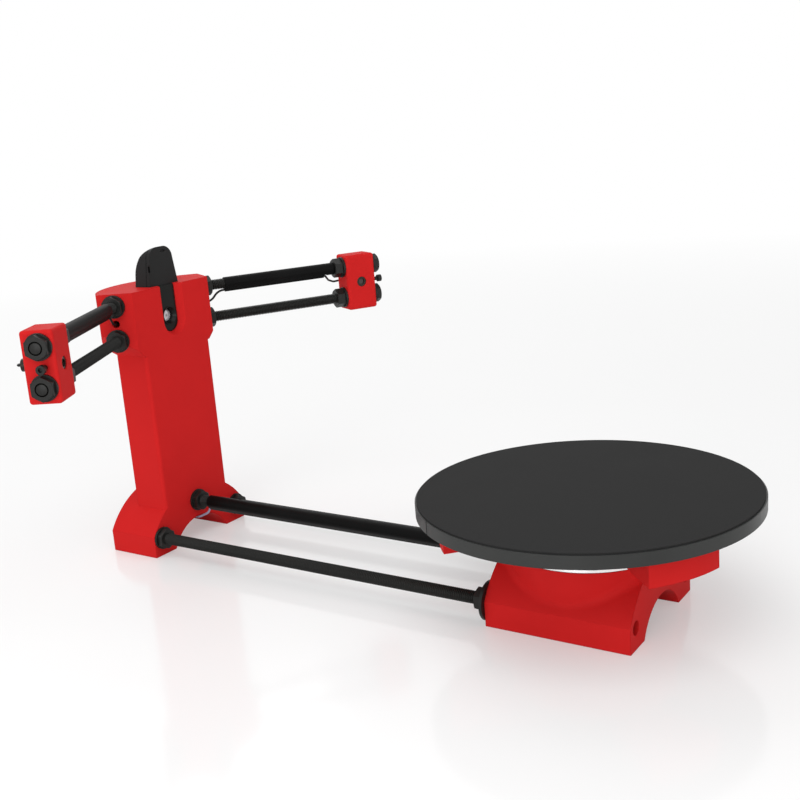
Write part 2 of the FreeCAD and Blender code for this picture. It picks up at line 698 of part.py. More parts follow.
motor_low = motor_top - motor_h
stator_z0 = motor_low + cap_h
stator_z1 = motor_top - cap_h
front_cap = motor_slice(stator_z1, motor_top).fuse(cyl(pilot_r, V(axle_x, 0, motor_top), Z, pilot_h))
front_cap = front_cap.cut(cyl(rotor_r + rotor_gap, V(axle_x, 0, stator_z1 - 1), Z, cap_h / 2 + 1))
front_cap = front_cap.cut(cyl(shaft_r + shaft_fit, V(axle_x, 0, stator_z1 - 1), Z, cap_h + pilot_h + 2))
for p in motor_holes:
    front_cap = front_cap.cut(cyl(screw_r + thread_fit, p + V(0, 0, motor_top - screw_in_cap - 0.5), Z, 10))
keep("motor_front_cap", front_cap)
keep("motor_stator", motor_slice(stator_z0, stator_z1).cut(cyl(rotor_r + rotor_gap, V(axle_x, 0, stator_z0), Z, 50)))
rear_cap = motor_slice(motor_low, stator_z0)
rear_cap = rear_cap.cut(cyl(rotor_r + rotor_gap, V(axle_x, 0, stator_z0 - cap_h / 2), Z, cap_h))
rear_cap = rear_cap.cut(cyl(shaft_r + shaft_fit, V(axle_x, 0, motor_low + 1.5), Z, cap_h))
keep("motor_rear_cap", rear_cap)
keep("motor_shaft", cyl(shaft_r, V(axle_x, 0, motor_low + 2), Z, shaft_top - motor_low - 2))
rotor_z0 = stator_z0 - cap_h / 2 + rotor_end
rotor_z1 = stator_z1 + cap_h / 2 - rotor_end
keep("motor_rotor", ring(rotor_r, shaft_r, V(axle_x, 0, rotor_z0), Z, rotor_z1 - rotor_z0))
heads = []
for p in motor_holes:
    z = bearing_z - screw_head_h - screw_fit
    shape = cyl(screw_head_r, p + V(0, 0, z), Z, screw_head_h)
    shape = shape.fuse(cyl(screw_r, p + V(0, 0, motor_top - screw_in_cap), Z, z - motor_top + screw_in_cap))
    shape = shape.cut(prism([p + V(1.45 * cos(radians(60 * i)), 1.45 * sin(radians(60 * i)), z + 1.2)
                             for i in range(6)], V(0, 0, 5)))
    heads.append(shape)
keep("motor_screws", *heads)

# Socket on the motor's side and the lead from it to the controller
motor_side_x = axle_x - half_side
keep("motor_socket", box(motor_side_x - socket_d, motor_side_x, -socket_w / 2, socket_w / 2, socket_z, socket_z + socket_h))
lead_z = centre_rod_z - wire_drop
plug = V(motor_side_x - socket_d - wire_gap, 0, socket_z + socket_h / 2)
route = [V(term_x, 0, board_z + board_h - shield_h - wire_gap), V(term_x, 0, board_z + board_h - shield_h - 7),
         V(term_x, lead_shaft_y, cavity_z0 + 5), V(term_x, lead_shaft_y, 13.3), V(tower_x + 8, 2, 13.3),
         V(tower_front, 0, 15.4), V(long_start - 4, 0, 19.8), V(long_start - 1.2, 0, lead_z),
         V(base_rear - long_sleeve_stop + 2.6, 0, lead_z), V(base_rear + 1.2, 0, 11), V(base_rear + 8.5, 0, plug.z), plug]
keep("motor_lead", tube(route, wire_r, "motor lead", {7: 2.0, 8: 4.0}))

# Webcam in the pocket of the head
shell = camera_body(cam_x, split_x - cam_x, 0)
shell = shell.cut(camera_body(cam_x + cam_wall, split_x - cam_x, cam_wall))
keep("webcam_shell", shell)
bezel = camera_body(split_x, face_x - split_x, 0)
slit_z = cam_top - slit_drop
bezel = bezel.cut(cyl(cam_lens_r + thread_fit, V(split_x - 1, 0, lens_z), X, 10))
bezel = bezel.cut(box(face_x - slit_deep, face_x + 1, slit_y - slit_w / 2, slit_y + slit_w / 2,
                      slit_z - slit_h / 2, slit_z + slit_h / 2))
mic_z = cam_top - mic_drop
bezel = bezel.cut(box(face_x - slit_deep, face_x + 1, mic_y - mic_w / 2, mic_y + mic_w / 2, mic_z - mic_h / 2, mic_z + mic_h / 2))
keep("webcam_bezel", bezel)
strip = capsule(strip_half, strip_z0, strip_top + strip_half, face_x, strip_t)
strip = strip.cut(box(face_x - 1, face_x + strip_t + 1, -20, 20, strip_top, strip_top + 20))
strip = strip.cut(cyl(cam_lens_r + thread_fit, V(face_x - 1, 0, lens_z), X, 10))
keep("webcam_strip", strip)
keep("webcam_light", box(face_x - slit_deep, face_x - slit_deep / 2, slit_y - slit_w / 2, slit_y + slit_w / 2,
                         slit_z - slit_h / 2, slit_z + slit_h / 2))
strip_x = face_x + strip_t
keep("webcam_lens_ring", ring(cam_ring_r, cam_lens_r, V(strip_x, 0, lens_z), X, cam_ring_t))
barrel = cyl(cam_lens_r, V(strip_x - barrel_len, 0, lens_z), X, barrel_len)
dome_r = 12.0
dome_x = strip_x - sqrt(dome_r ** 2 - cam_lens_r ** 2)
dome = Part.makeSphere(dome_r, V(dome_x, 0, lens_z)).common(cyl(cam_lens_r, V(strip_x - 0.5, 0, lens_z), X, 5))
keep("webcam_lens", barrel.fuse(dome).removeSplitter())
board_back = strip_x - barrel_len - cam_board_t
cam_board_half = cam_half - cam_wall - cam_board_play
keep("webcam_board", box(board_back, board_back + cam_board_t, -cam_board_half, cam_board_half,
                         cam_z0 + cam_half - 2, cam_straight + 6))

# Controller
holes = [(side * (board_w / 2 - hole_inset), z) for side in (1, -1)
         for z in (board_z + hole_inset, board_z + board_h - hole_inset)]
board = box(pcb_x - board_t, pcb_x, -board_w / 2, board_w / 2, board_z, board_z + board_h)
for y, z in holes:
    board = board.cut(cyl(board_screw_r + thread_fit, V(pcb_x - board_t - 1, y, z), X, board_t + 2))
keep("controller_board", board)
keep("standoffs", *[ring(standoff_r, board_screw_r + thread_fit, V(pcb_x, y, z), X, standoff_h) for y, z in holes])
keep("board_screws", *[cyl(board_screw_r, V(pcb_x - board_t, y, z), X, board_t + standoff_h + board_screw_bite).fuse(
    cyl(board_screw_head_r, V(pcb_x - board_t, y, z), -X, board_screw_head_h)) for y, z in holes])
header_y = board_w / 2 - header_w - hole_inset - board_screw_head_r - 1
header_z = board_z + board_h - header_drop - header_len
keep("header_strips", *[box(header_x - header_h, header_x, side * header_y - header_w / 2,
                            side * header_y + header_w / 2, header_z, header_z + header_len) for side in (1, -1)])
shield_z = board_z + board_h - shield_h
keep("shield_board", box(plate_x - board_t, plate_x, -board_w / 2, board_w / 2, shield_z, shield_z + shield_h))
drivers = []
sinks = []
rails = []
driver_y = term_w / 2 + driver_gap + driver_w / 2
for y in (-driver_y, driver_y):
    for z in (shield_z + driver_h * 0.55, shield_z + driver_h * 1.6):
        drivers.append(box(stick_x - driver_t, stick_x, y - driver_w / 2, y + driver_w / 2, z - driver_h / 2, z + driver_h / 2))
        foot = box(stick_x - driver_t - sink_base, stick_x - driver_t, y - sink_side / 2, y + sink_side / 2,
                   z - sink_side / 2, z + sink_side / 2)
        for i in range(sink_fins):
            fin_y = y - sink_side / 2 + i * (sink_side - sink_fin_t) / (sink_fins - 1)
            foot = foot.fuse(box(stick_x - driver_t - sink_h, stick_x - driver_t - sink_base, fin_y, fin_y + sink_fin_t,
                                 z - sink_side / 2, z + sink_side / 2))
        sinks.append(foot.removeSplitter())
        for edge in (-1, 1):
            rail_y = y + edge * (driver_w / 2 - header_w / 2)
            rails.append(box(stick_x, back_x, rail_y - header_w / 2, rail_y + header_w / 2, z - driver_h / 2, z + driver_h / 2))
keep("driver_boards", *drivers)
keep("heat_sinks", *sinks)
keep("driver_headers", *rails)
top_z = shield_z + shield_h
keep("terminals", *[box(back_x - term_d, back_x, y - term_w / 2, y + term_w / 2, z, z + term_h)
                    for y, z in ((term_y, top_z - term_h), (-term_y, top_z - term_h), (0, shield_z))])
usb = box(header_x - usb_d, header_x, usb_y - usb_w / 2, usb_y + usb_w / 2, board_z - socket_drop, board_z - socket_drop + usb_h)
usb = usb.cut(box(header_x - usb_d + usb_wall, header_x - usb_wall, usb_y - usb_w / 2 + usb_wall, usb_y + usb_w / 2 - usb_wall,
                  board_z - socket_drop - 1, board_z - socket_drop + usb_h - 3))
keep("usb_socket", usb)
jack = box(header_x - jack_d, header_x, jack_y - jack_w / 2, jack_y + jack_w / 2, board_z - socket_drop,
           board_z - socket_drop + jack_h)
jack_axis = V(header_x - jack_d / 2, jack_y, board_z - socket_drop - 1)
jack = jack.cut(cyl(jack_hole_r, jack_axis, Z, jack_h - 1)).fuse(cyl(jack_pin_r, jack_axis + V(0, 0, 2), Z, jack_h - 2))
keep("power_jack", jack)
button_z = board_z + button_base
switch = box(header_x - button_base_t, header_x, -button_base / 2, button_base / 2, button_z - button_base / 2,
             button_z + button_base / 2)
switch = switch.cut(cyl(button_r + button_fit, V(header_x - button_base_t - 1, 0, button_z), X, button_base_t))
keep("reset_switch", switch)
keep("reset_button", cyl(button_r, V(header_x - button_base_t - button_out, 0, button_z), X, button_base_t + button_out - 1.6))

print("nodes", len(OUT), "solids", sum(len(v) for v in OUT.values()))
boxes = [s.BoundBox for v in OUT.values() for s in v]
print("box", [round(min(b.XMin for b in boxes), 3), round(max(b.XMax for b in boxes), 3),
              round(min(b.YMin for b in boxes), 3), round(max(b.YMax for b in boxes), 3),
              round(min(b.ZMin for b in boxes), 3), round(max(b.ZMax for b in boxes), 3)])
for name, solids in OUT.items():
    for solid in solids:
        if not solid.isValid() or solid.Volume <= 0:
            print("BAD", name)
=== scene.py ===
from math import cos, pi, radians, sin

import bpy
from mathutils import Matrix, Vector


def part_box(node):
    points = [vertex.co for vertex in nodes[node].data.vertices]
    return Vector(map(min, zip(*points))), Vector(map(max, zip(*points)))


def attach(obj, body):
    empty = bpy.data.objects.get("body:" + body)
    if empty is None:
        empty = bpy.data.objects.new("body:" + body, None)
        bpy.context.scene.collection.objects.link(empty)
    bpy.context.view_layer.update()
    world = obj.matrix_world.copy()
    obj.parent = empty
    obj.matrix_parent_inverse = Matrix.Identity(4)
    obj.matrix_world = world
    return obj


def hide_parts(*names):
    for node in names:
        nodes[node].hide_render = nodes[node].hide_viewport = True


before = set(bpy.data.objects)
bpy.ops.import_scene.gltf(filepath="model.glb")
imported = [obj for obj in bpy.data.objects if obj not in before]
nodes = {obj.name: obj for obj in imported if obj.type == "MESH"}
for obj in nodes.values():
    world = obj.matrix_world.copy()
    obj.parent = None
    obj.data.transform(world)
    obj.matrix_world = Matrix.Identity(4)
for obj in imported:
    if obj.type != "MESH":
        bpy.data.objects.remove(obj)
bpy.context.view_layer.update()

# Camera: the photograph's own view, from the turntable's near side, slightly above the platter.
# The tower stands at the left, and the camera leans a little, as the picture does.
tower_half = 0.0215
tower_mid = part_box("tower")[1].x - tower_half
camera_x, camera_y, camera_z = 0.596473, -0.564818, 0.287602
camera_turn, camera_dip, camera_lean = 34.372, 13.853, -4.535
camera_lens, camera_sensor = 50.206, 36
bpy.ops.object.camera_add()
camera = bpy.context.object
camera.data.lens = camera_lens
camera.data.sensor_width = camera_sensor
camera.data.clip_start = 0.01
camera.matrix_world = (Matrix.Translation((tower_mid + camera_x, camera_y, camera_z))
                       @ Matrix.Rotation(radians(camera_turn), 4, "Z")
                       @ Matrix.Rotation(radians(90 - camera_dip), 4, "X")
                       @ Matrix.Rotation(radians(camera_lean), 4, "Z"))
bpy.context.scene.camera = camera
bpy.context.scene.view_settings.view_transform = "Standard"

# Studio: a polished white sheet under soft light. It keeps the shadows and shows the blurred mirror
# image of the rods and the red feet, and fades into plain white away from them.
floor_gap = 0.0002
glow_near, glow_from, glow_to = 0.34, 0.45, 1.9
sky_light = 0.60
lamps = (  # place, width and power
    ((0.25, -0.55, 1.15), 1.1, 6.0),
    ((-0.9, 0.5, 1.1), 0.9, 4.0),
    ((0.25, -1.05, 0.30), 0.6, 3.6),
    ((1.25, 0.10, 0.24), 0.45, 1.6),
)
lamp_aim = Vector((0, 0, 0.05))


def link(tree, *pairs):
    """Join each pair of sockets, an output with an input."""
    for source, target in pairs:
        tree.links.new(source, target)


def background_ray(tree):
    """A socket that is 1 where a ray shows the background: seen, mirrored or through glass."""
    ray = tree.nodes.new("ShaderNodeLightPath")
    last = ray.outputs["Is Camera Ray"]
    for kind in ("Is Glossy Ray", "Is Transmission Ray"):
        either = tree.nodes.new("ShaderNodeMath")
        either.operation = "MAXIMUM"
        link(tree, (last, either.inputs[0]), (ray.outputs[kind], either.inputs[1]))
        last = either.outputs[0]
    return last


bpy.ops.mesh.primitive_plane_add(size=40, location=(0, 0, -floor_gap))
floor = bpy.context.object
floor.name = "floor"
floor_white = bpy.data.materials.new("floor white")
floor_white.use_nodes = True
tree = floor_white.node_tree
sheet = tree.nodes["Principled BSDF"]
sheet.inputs["Base Color"].default_value = (0.93, 0.93, 0.93, 1)
sheet.inputs["Roughness"].default_value = 0.12
glow = tree.nodes.new("ShaderNodeEmission")
glow.inputs["Strength"].default_value = 1
place = tree.nodes.new("ShaderNodeTexCoord")
away = tree.nodes.new("ShaderNodeVectorMath")
away.operation = "LENGTH"
fade = tree.nodes.new("ShaderNodeMapRange")
fade.inputs["From Min"].default_value = glow_from
fade.inputs["From Max"].default_value = glow_to
fade.inputs["To Min"].default_value = glow_near
shown = tree.nodes.new("ShaderNodeMath")
shown.operation = "MULTIPLY"
mix = tree.nodes.new("ShaderNodeMixShader")
link(tree, (place.outputs["Object"], away.inputs[0]), (away.outputs["Value"], fade.inputs["Value"]),
     (fade.outputs["Result"], shown.inputs[0]), (background_ray(tree), shown.inputs[1]),
     (shown.outputs[0], mix.inputs[0]), (sheet.outputs[0], mix.inputs[1]),
     (glow.outputs[0], mix.inputs[2]),
     (mix.outputs[0], tree.nodes["Material Output"].inputs["Surface"]))
floor.data.materials.append(floor_white)

world = bpy.data.worlds.new("studio")
bpy.context.scene.world = world
world.use_nodes = True
tree = world.node_tree
sky = tree.nodes["Background"]
sky.inputs["Color"].default_value = (1, 1, 1, 1)
level = tree.nodes.new("ShaderNodeMapRange")
level.inputs["To Min"].default_value = sky_light
level.inputs["To Max"].default_value = 1.0
link(tree, (background_ray(tree), level.inputs["Value"]), (level.outputs[0], sky.inputs["Strength"]))
for spot, width, power in lamps:
    bpy.ops.object.light_add(type="AREA", location=spot)
    lamp = bpy.context.object
    lamp.data.size = width
    lamp.data.energy = power
    lamp.rotation_euler = (lamp_aim - Vector(spot)).to_track_quat("-Z", "Y").to_euler()

# Tower: one red plastic piece, printed or moulded and rubbed smooth, with an arch foot, a hollow
# column and a spread head, cut for the webcam. It is slightly glossy, with a faint orange peel.


def finish(name, colour, rough, metal=0.0, fleck=0.05, grain=700.0, bump=0.05, edge=0.0004,
           coat=0.0, waver=0.05, shine=0.25, ior=1.5):
    """A material with uneven colour, uneven gloss, a fine surface grain and eased edges."""
    patch_scale, patch_low, patch_high = 28, 0.3, 0.7
    coat_rough, smoothest, grain_depth = 0.08, 0.02, 0.0002
    made = bpy.data.materials.new(name)
    made.use_nodes = True
    tree = made.node_tree
    shade = tree.nodes["Principled BSDF"]
    for socket, value in (("Metallic", metal), ("Specular IOR Level", shine), ("IOR", ior),
                          ("Coat Weight", coat), ("Coat Roughness", coat_rough)):
        shade.inputs[socket].default_value = value
    where = tree.nodes.new("ShaderNodeTexCoord")
    fine = tree.nodes.new("ShaderNodeTexNoise")
    broad = tree.nodes.new("ShaderNodeTexNoise")
    for noise, scale, detail in ((fine, grain, 4), (broad, patch_scale, 3)):
        noise.inputs["Scale"].default_value = scale
        noise.inputs["Detail"].default_value = detail
        link(tree, (where.outputs["Object"], noise.inputs["Vector"]))
    tone = tree.nodes.new("ShaderNodeValToRGB")
    dull, bright = tone.color_ramp.elements
    for stop, at, share in ((dull, patch_low, 1 - fleck), (bright, patch_high, 1 + fleck)):
        stop.position = at
        stop.color = (*[min(1, part * share) for part in colour], 1)
    gloss = tree.nodes.new("ShaderNodeMapRange")
    for socket, value in (("From Min", patch_low), ("From Max", patch_high),
                          ("To Min", max(smoothest, rough - waver)), ("To Max", rough + waver)):
        gloss.inputs[socket].default_value = value
    relief = tree.nodes.new("ShaderNodeBump")
    relief.inputs["Strength"].default_value = bump
    relief.inputs["Distance"].default_value = grain_depth
    eased = tree.nodes.new("ShaderNodeBevel")
    eased.samples = 4
    eased.inputs["Radius"].default_value = edge
    link(tree, (broad.outputs["Fac"], tone.inputs["Fac"]),
         (tone.outputs["Color"], shade.inputs["Base Color"]),
         (broad.outputs["Fac"], gloss.inputs["Value"]),
         (gloss.outputs["Result"], shade.inputs["Roughness"]),
         (fine.outputs["Fac"], relief.inputs["Height"]),
         (eased.outputs["Normal"], relief.inputs["Normal"]),
         (relief.outputs["Normal"], shade.inputs["Normal"]))
    return made


def coat_nodes(material, *names):
    """Put a material on CAD nodes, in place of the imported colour."""
    for name in names:
        slots = nodes[name].data.materials
        slots.clear()
        slots.append(material)


red_plastic = finish("red plastic", (0.58, 0.017, 0.017), 0.50, fleck=0.03, bump=0.04, edge=0.0009,
                     shine=0.15, ior=1.18)
coat_nodes(red_plastic, "tower")

# Turntable base, carrier and laser blocks: the same red plastic, moulded or printed and rubbed smooth.
# The base ends in a flared bowl for the large bearing, and the carrier's arms hold the platter.
coat_nodes(red_plastic, "turntable_base", "carrier", "left_laser_block", "right_laser_block")

# Threaded rods: M8 steel studding with a black finish, cut square and lightly chamfered at the ends.
# Two long rods run along the feet, one between them, and two on each arm, 60 degrees from the middle.
black_steel = finish("black steel", (0.011, 0.011, 0.010), 0.40, fleck=0.2, grain=1500, bump=0.08,
                     edge=0.0003, shine=0.22)
rod_r = 0.004
rod_core = 0.0034
rod_chamfer = 0.0005
pitch = 0.00125
thread_start = 0.0013     # from the rod's end to the first ridge
ridge_half = 0.0005       # half of a ridge's width at its root
ridge_root = rod_core - 0.0001   # sunk a little into the core
faces_along = 0.9         # a normal's share from which a face counts as facing along an axis
smooth_to = radians(35)   # edges flatter than this look round
arm_x, arm_y = cos(radians(60)), sin(radians(60))


def select_only(*pieces):
    """Deselect everything but these pieces, and make the first of them active."""
    bpy.ops.object.select_all(action="DESELECT")
    for piece in pieces:
        piece.select_set(True)
    if pieces:
        bpy.context.view_layer.objects.active = pieces[0]


def put_in_place(piece, start, way):
    """Turn a piece modelled up Z from the origin along way, move it to start, and apply both."""
    piece.rotation_euler = Vector(way).to_track_quat("Z", "Y").to_euler()
    piece.location = start
    select_only(piece)
    bpy.ops.object.transform_apply(location=True, rotation=True, scale=True)


def threaded_rod(start, way, run):
    """One rod: a core with chamfered ends and a thread wound round it."""
    select_only()
    bpy.ops.mesh.primitive_cylinder_add(vertices=32, radius=rod_core, depth=run,
                                        location=(0, 0, run / 2))
    core = bpy.context.object
    bpy.ops.object.transform_apply(location=True)
    bpy.ops.object.mode_set(mode="EDIT")
    bpy.ops.mesh.select_mode(type="FACE")
    bpy.ops.mesh.select_all(action="DESELECT")
    bpy.ops.object.mode_set(mode="OBJECT")
    for face in core.data.polygons:
        face.select = abs(face.normal.z) > faces_along
    bpy.ops.object.mode_set(mode="EDIT")
    bpy.ops.mesh.bevel(offset=rod_chamfer, segments=2)
    bpy.ops.object.mode_set(mode="OBJECT")
    select_only()
    bpy.ops.mesh.primitive_circle_add(vertices=3, radius=ridge_half)
    ridge = bpy.context.object
    outline = ((ridge_root, -ridge_half), (ridge_root, ridge_half), (rod_r, 0))
    for vertex, (out, up) in zip(ridge.data.vertices, outline):
        vertex.co = (out, 0, up + thread_start)
    wind = ridge.modifiers.new("thread", "SCREW")
    wind.axis = "Z"
    wind.iterations = int((run - 2 * thread_start) / pitch)
    wind.screw_offset = pitch
    wind.steps = wind.render_steps = 20
    wind.use_normal_calculate = True
    bpy.ops.object.modifier_apply(modifier="thread")
    bpy.ops.object.mode_set(mode="EDIT")
    bpy.ops.mesh.select_all(action="SELECT")
    bpy.ops.mesh.fill_holes(sides=3)
    bpy.ops.mesh.normals_make_consistent(inside=False)
    bpy.ops.object.mode_set(mode="OBJECT")
    select_only(core, ridge)
    bpy.ops.object.join()
    put_in_place(core, start, way)
    return core


def rod_set(name, node, rods):
    """The rods of one CAD node as one piece."""
    made = [threaded_rod(*rod) for rod in rods]
    select_only(*made)
    if len(made) > 1:
        bpy.ops.object.join()
    made[0].name = name
    bpy.ops.object.shade_smooth_by_angle(angle=smooth_to)
    made[0].data.materials.append(black_steel)
    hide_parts(node)
    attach(made[0], "frame")


low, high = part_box("side_rods")
rod_set("threaded_side_rods", "side_rods",
        [((low.x, y, (low.z + high.z) / 2), (1, 0, 0), high.x - low.x)
         for y in (low.y + rod_r, high.y - rod_r)])
low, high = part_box("centre_rod")
rod_set("threaded_centre_rod", "centre_rod",
        [((low.x, 0, (low.z + high.z) / 2), (1, 0, 0), high.x - low.x)])
for side, label in ((1, "left"), (-1, "right")):
    low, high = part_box(label + "_arm_rods")
    inner = min(side * low.y, side * high.y) + rod_r * arm_x
    outer = max(side * low.y, side * high.y) - rod_r * arm_x
    begin = Vector((low.x + rod_r * arm_y, side * inner, 0))
    rod_set(label + "_threaded_arm_rods", label + "_arm_rods",
            [(begin + Vector((0, 0, z)), (arm_x, side * arm_y, 0), (outer - inner) / arm_y)
             for z in (low.z + rod_r, high.z - rod_r)])

# Nuts, washers and screws: blackened steel hardware, the nuts turned at their corners, with worn edges.
# The clamp screws hold the laser barrels, the small screws the motor and the circuit board.
coat_nodes(black_steel, "nuts", "thin_nuts", "washers", "large_washers", "clamp_screws", "motor_screws",
           "board_screws", "grub_screw")

# Sleeves and wires: black heat-shrink tube, shrunk over a rod and the wire that runs under it.
# The wires are thin leads in a soft plastic jacket, black for the lasers and grey for the motor.
sleeve_black = finish("sleeve black", (0.005, 0.005, 0.005), 0.45, fleck=0.25, grain=400, bump=0.12,
                      edge=0.0002, shine=0.12, ior=1.3)
coat_nodes(sleeve_black, "left_sleeve", "right_sleeve", "centre_sleeve")
wire_black = finish("wire black", (0.008, 0.008, 0.008), 0.5, fleck=0.2, grain=900, edge=0.0002)
coat_nodes(wire_black, "left_laser_wire", "right_laser_wire")
lead_grey = finish("lead grey", (0.35, 0.35, 0.48), 0.45, fleck=0.1, grain=900, edge=0.0002)
coat_nodes(lead_grey, "motor_lead")

# Laser modules: turned brass barrels, blackened, each with a coated glass lens pressed into its front.
# The clamp screw in the block holds the barrel, which can be turned to set the line upright.
barrel_black = finish("barrel black", (0.025, 0.022, 0.018), 0.3, metal=0.7, fleck=0.2, grain=1200,
                      edge=0.0003)
coat_nodes(barrel_black, "left_laser_barrel", "right_laser_barrel")
coated_glass = finish("coated glass", (0.05, 0.03, 0.025), 0.10, fleck=0.2, grain=300, bump=0.0,
                      edge=0.0001, coat=0.2, waver=0.02)
coat_nodes(coated_glass, "left_laser_lens", "right_laser_lens")

# Webcam: a satin black plastic shell that narrows at its top, snapped onto a bezel of the same plastic,
# with a small light and a pinhole microphone in its face. Where the two meet, a thin band of painted
# shade stands in for the groove between them.
webcam_black = finish("webcam black", (0.014, 0.014, 0.014), 0.44, fleck=0.12, grain=900, edge=0.0009,
                      shine=0.3, ior=1.3)
coat_nodes(webcam_black, "webcam_shell", "webcam_bezel")
# A thin band across X at the bezel's back face is painted near black: painted shade for the groove.
groove_shade_half = 0.0005
tree = webcam_black.node_tree
shade = tree.nodes["Principled BSDF"]
plain = shade.inputs["Base Color"].links[0].from_socket
where = tree.nodes.new("ShaderNodeTexCoord")
split = tree.nodes.new("ShaderNodeSeparateXYZ")
groove_shade = tree.nodes.new("ShaderNodeMath")
groove_shade.operation = "COMPARE"
groove_shade.inputs[1].default_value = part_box("webcam_bezel")[0].x
groove_shade.inputs[2].default_value = groove_shade_half
painted_groove_shade = tree.nodes.new("ShaderNodeMix")
painted_groove_shade.data_type = "RGBA"
painted_groove_shade.inputs["B"].default_value = (0.001, 0.001, 0.001, 1)
link(tree, (where.outputs["Object"], split.inputs[0]), (split.outputs["X"], groove_shade.inputs[0]),
     (groove_shade.outputs[0], painted_groove_shade.inputs["Factor"]), (plain, painted_groove_shade.inputs["A"]),
     (painted_groove_shade.outputs["Result"], shade.inputs["Base Color"]))
light_pipe = finish("light pipe", (0.002, 0.002, 0.002), 0.3, fleck=0.1, grain=500, bump=0.02,
                    edge=0.0001, shine=0.05, ior=1.3)
coat_nodes(light_pipe, "webcam_light")

# Lens strip: a glossy black plastic plate on the bezel's face, round at its lower end and square at
# its top, with a hole for the lens. It is moulded by itself and stuck on.
webcam_gloss = finish("webcam gloss", (0.010, 0.011, 0.010), 0.14, fleck=0.1, grain=300, bump=0.01,
                      edge=0.0003, ior=1.3, waver=0.03)
strip_low, strip_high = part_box("webcam_strip")
strip_half = (strip_high.y - strip_low.y) / 2
strip_t = strip_high.x - strip_low.x
strip_round_z = strip_low.z + strip_half
strip_ease = 0.00025
clear_of = 0.0001         # what lies this far above the middle is selected
ring_low, ring_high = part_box("webcam_lens_ring")
lens_z = (ring_low.z + ring_high.z) / 2
hole_r = 0.0061


def round_along_x(name, radius, depth, middle, sides):
    """A plain disc or rod that lies along X, to shape further."""
    select_only()
    bpy.ops.mesh.primitive_cylinder_add(vertices=sides, radius=radius, depth=depth,
                                        rotation=(0, pi / 2, 0), location=middle)
    made = bpy.context.object
    made.name = name
    bpy.ops.object.transform_apply(location=True, rotation=True)
    return made


def select_none(piece):
    """Deselect every vertex, edge and face of a piece."""
    for part in (piece.data.vertices, piece.data.edges, piece.data.polygons):
        for one in part:
            one.select = False


def punch_out(piece, punch):
    """Cut the punch's shape out of a piece, and leave the piece selected."""
    select_only(piece)
    cut = piece.modifiers.new("cut", "BOOLEAN")
    cut.object = punch
    bpy.ops.object.modifier_apply(modifier="cut")
    select_only(punch)
    bpy.ops.object.delete()
    select_only(piece)


lens_strip = round_along_x("lens_strip", strip_half, strip_t,
                           (strip_low.x + strip_t / 2, 0, strip_round_z), 64)
select_none(lens_strip)
for vertex in lens_strip.data.vertices:
    vertex.select = vertex.co.z > strip_round_z + clear_of
bpy.ops.object.mode_set(mode="EDIT")
bpy.ops.mesh.select_mode(type="VERT")
bpy.ops.transform.resize(value=(1, 1, 0))
bpy.ops.object.mode_set(mode="OBJECT")
raised = max(vertex.co.z for vertex in lens_strip.data.vertices)
bpy.ops.object.mode_set(mode="EDIT")
bpy.ops.transform.translate(value=(0, 0, strip_high.z - raised))
bpy.ops.mesh.select_all(action="SELECT")
bpy.ops.mesh.dissolve_limited(angle_limit=radians(1))
bpy.ops.object.mode_set(mode="OBJECT")
punch_out(lens_strip, round_along_x("punch", hole_r, strip_t * 3, (strip_low.x, 0, lens_z), 64))
ease = lens_strip.modifiers.new("ease", "BEVEL")
ease.width = strip_ease
ease.segments = 2
ease.limit_method = "ANGLE"
bpy.ops.object.modifier_apply(modifier="ease")
lens_strip.data.materials.append(webcam_gloss)
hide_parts("webcam_strip")
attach(lens_strip, "frame")

# Lens ring: a turned black ring whose mouth narrows to a tube, with a thin lip round the strip's hole
# and a neck that reaches into the bezel.
ring_front = ring_high.x
bezel_face = strip_low.x
lip_r, lip_t = 0.0066, 0.0005
mouth_r, tube_r, tube_depth = 0.0060, 0.0043, 0.0024
neck_step, neck_depth = 0.00155, 0.0028


def cap(piece, forward):
    """Select the round end of a piece that faces forward (1) or backward (-1), for editing."""
    select_none(piece)
    ends = [face for face in piece.data.polygons
            if face.normal.x * forward > faces_along and len(face.vertices) > 8]
    ends[-1].select = True
    bpy.ops.object.mode_set(mode="EDIT")
    bpy.ops.mesh.select_mode(type="FACE")


def push_back(depth):
    """Extrude the selected face backwards."""
    bpy.ops.mesh.extrude_region_move(TRANSFORM_OT_translate={"value": (-depth, 0, 0)})


def narrow(share):
    """Scale the selected face about its middle, across X."""
    bpy.ops.transform.resize(value=(1, share, share))


lens_ring = round_along_x("lens_ring", lip_r, lip_t, (ring_front - lip_t / 2, 0, lens_z), 64)
cap(lens_ring, 1)
bpy.ops.mesh.inset(thickness=lip_r - mouth_r)
push_back(ring_front - bezel_face)
narrow(tube_r / mouth_r)
push_back(tube_depth)
bpy.ops.object.mode_set(mode="OBJECT")
cap(lens_ring, -1)
push_back(ring_front - bezel_face - lip_t)
narrow(mouth_r / lip_r)
bpy.ops.mesh.inset(thickness=neck_step)
push_back(neck_depth)
bpy.ops.object.mode_set(mode="OBJECT")
bpy.ops.object.shade_smooth_by_angle(angle=smooth_to)
lens_ring.data.materials.append(webcam_gloss)
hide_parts("webcam_lens_ring")
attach(lens_ring, "frame")
